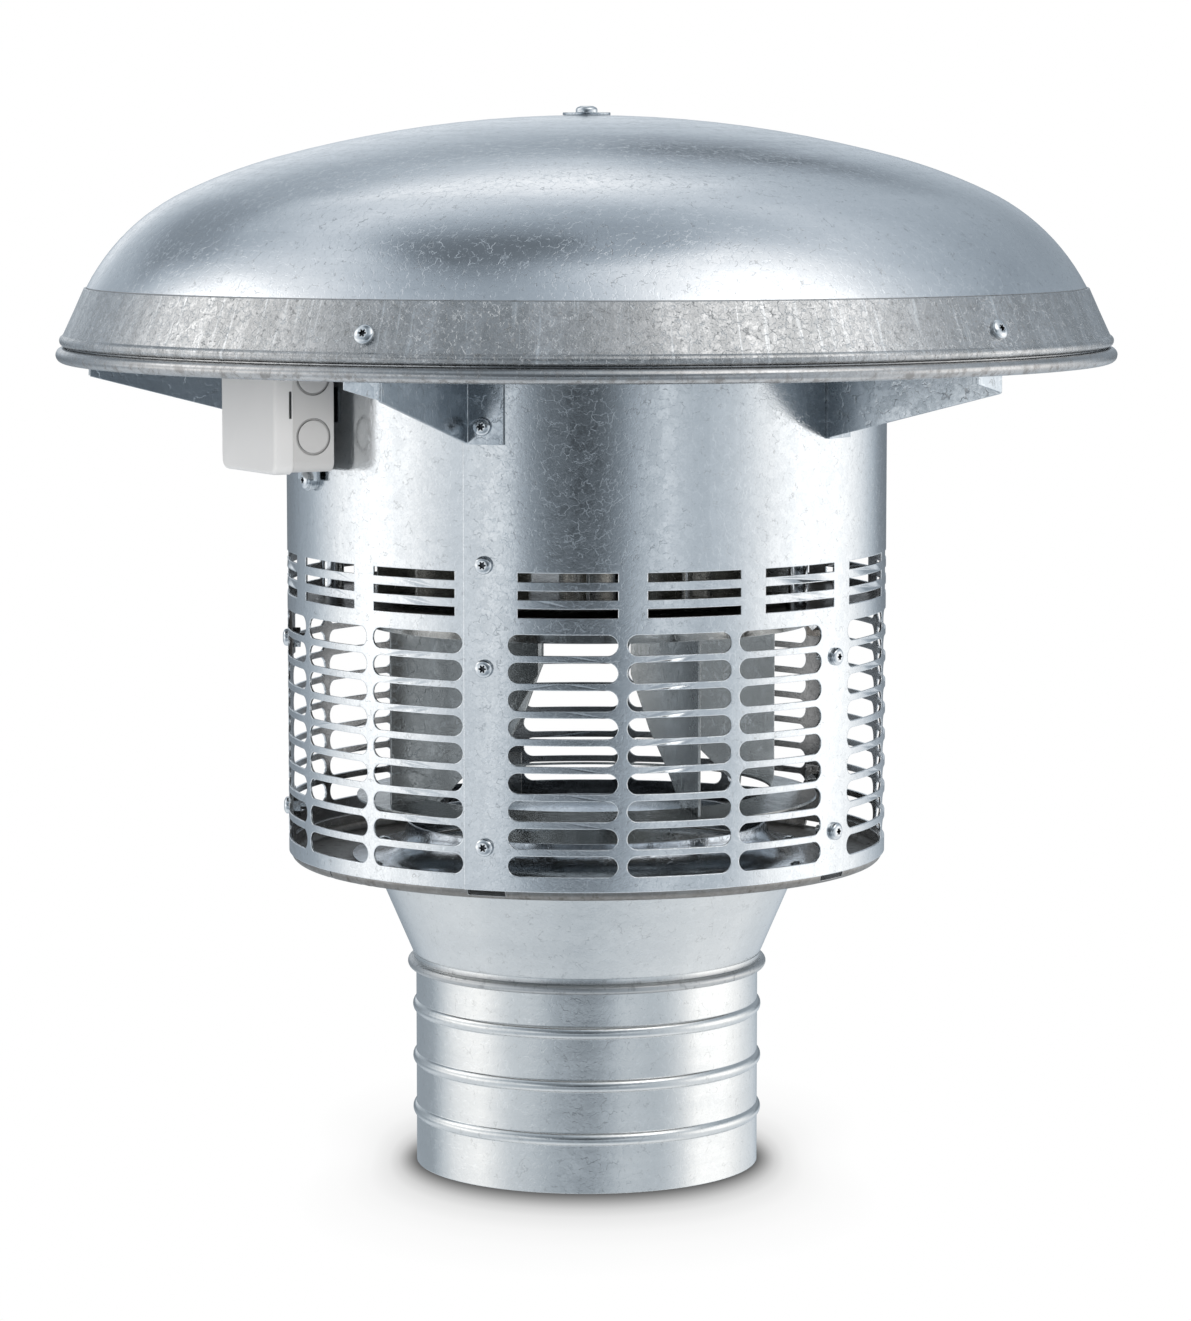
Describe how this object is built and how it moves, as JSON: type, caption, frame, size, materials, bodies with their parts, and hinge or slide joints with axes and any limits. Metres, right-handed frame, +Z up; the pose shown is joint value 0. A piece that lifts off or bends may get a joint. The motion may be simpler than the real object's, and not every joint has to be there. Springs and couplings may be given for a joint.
{
  "type": "chimney draught fan",
  "caption": "Roof-top chimney draught fan: slotted steel cage on a flue spigot, radial impeller under a partition, motor above it and a shallow domed rain cap.",
  "frame": {"origin": "centre of the spigot's lower edge, which is the centre of the bounding box's bottom", "axes": "+Z up along the impeller axis, out of the flue; the picture's front faces -Y"},
  "size_m": [0.4885, 0.4884, 0.4919],
  "materials": {
    "galvanised": "hot-dip galvanised sheet, satin with spangle",
    "bright_zinc": "bright zinc plate",
    "impeller_sheet": "dull slate-grey zinc sheet",
    "core_steel": "ground steel",
    "cast_aluminium": "as cast",
    "copper_winding": "varnished winding",
    "lid_grey": "light grey moulded plastic",
    "base_grey": "mid-grey moulded plastic"
  },
  "bodies": {
    "housing": {"spigot": "galvanised", "transition_cone": "galvanised", "base_pan": "galvanised", "inlet_bell": "galvanised", "inlet_rivets": "bright_zinc", "cage_wall": "galvanised", "cage_screws": "bright_zinc", "cage_nuts": "bright_zinc", "partition_plate": "galvanised", "motor_posts": "bright_zinc", "post_screws": "bright_zinc", "motor_plate": "galvanised", "motor_case": "cast_aluminium", "lower_end_shield": "cast_aluminium", "upper_end_shield": "cast_aluminium", "lower_bearing": "core_steel", "upper_bearing": "core_steel", "stator_core": "core_steel", "stator_windings": "copper_winding", "motor_bolts": "bright_zinc", "motor_nuts": "bright_zinc", "dome_crown": "galvanised", "dome_skirt": "galvanised", "rim_ring": "galvanised", "cap_screw": "bright_zinc", "cap_washer": "bright_zinc", "cap_nut": "bright_zinc", "dome_screws": "bright_zinc", "clip_nuts": "bright_zinc", "dome_bracket_1": "galvanised", "dome_bracket_2": "galvanised", "dome_bracket_3": "galvanised", "dome_bracket_4": "galvanised", "dome_bracket_5": "galvanised", "bracket_screws": "bright_zinc", "bracket_nuts": "bright_zinc", "box_base": "base_grey", "box_lid": "lid_grey", "box_bracket": "bright_zinc", "box_screws": "bright_zinc", "terminal_block": "lid_grey"},
    "rotor": {"shaft": "core_steel", "rotor_core": "core_steel", "impeller_hub": "cast_aluminium", "hub_bolt": "bright_zinc", "hub_washer": "bright_zinc", "impeller_backplate": "impeller_sheet", "blade_1": "impeller_sheet", "blade_2": "impeller_sheet", "blade_3": "impeller_sheet", "blade_4": "impeller_sheet", "front_ring": "impeller_sheet", "cooling_wheel": "impeller_sheet"}
  },
  "joints": [
    {"name": "impeller_spin", "type": "hinge", "parent": "housing", "child": "rotor", "pos_m": [0, 0, 0.25], "axis": [0, 0, 1], "continuous": true}
  ]
}
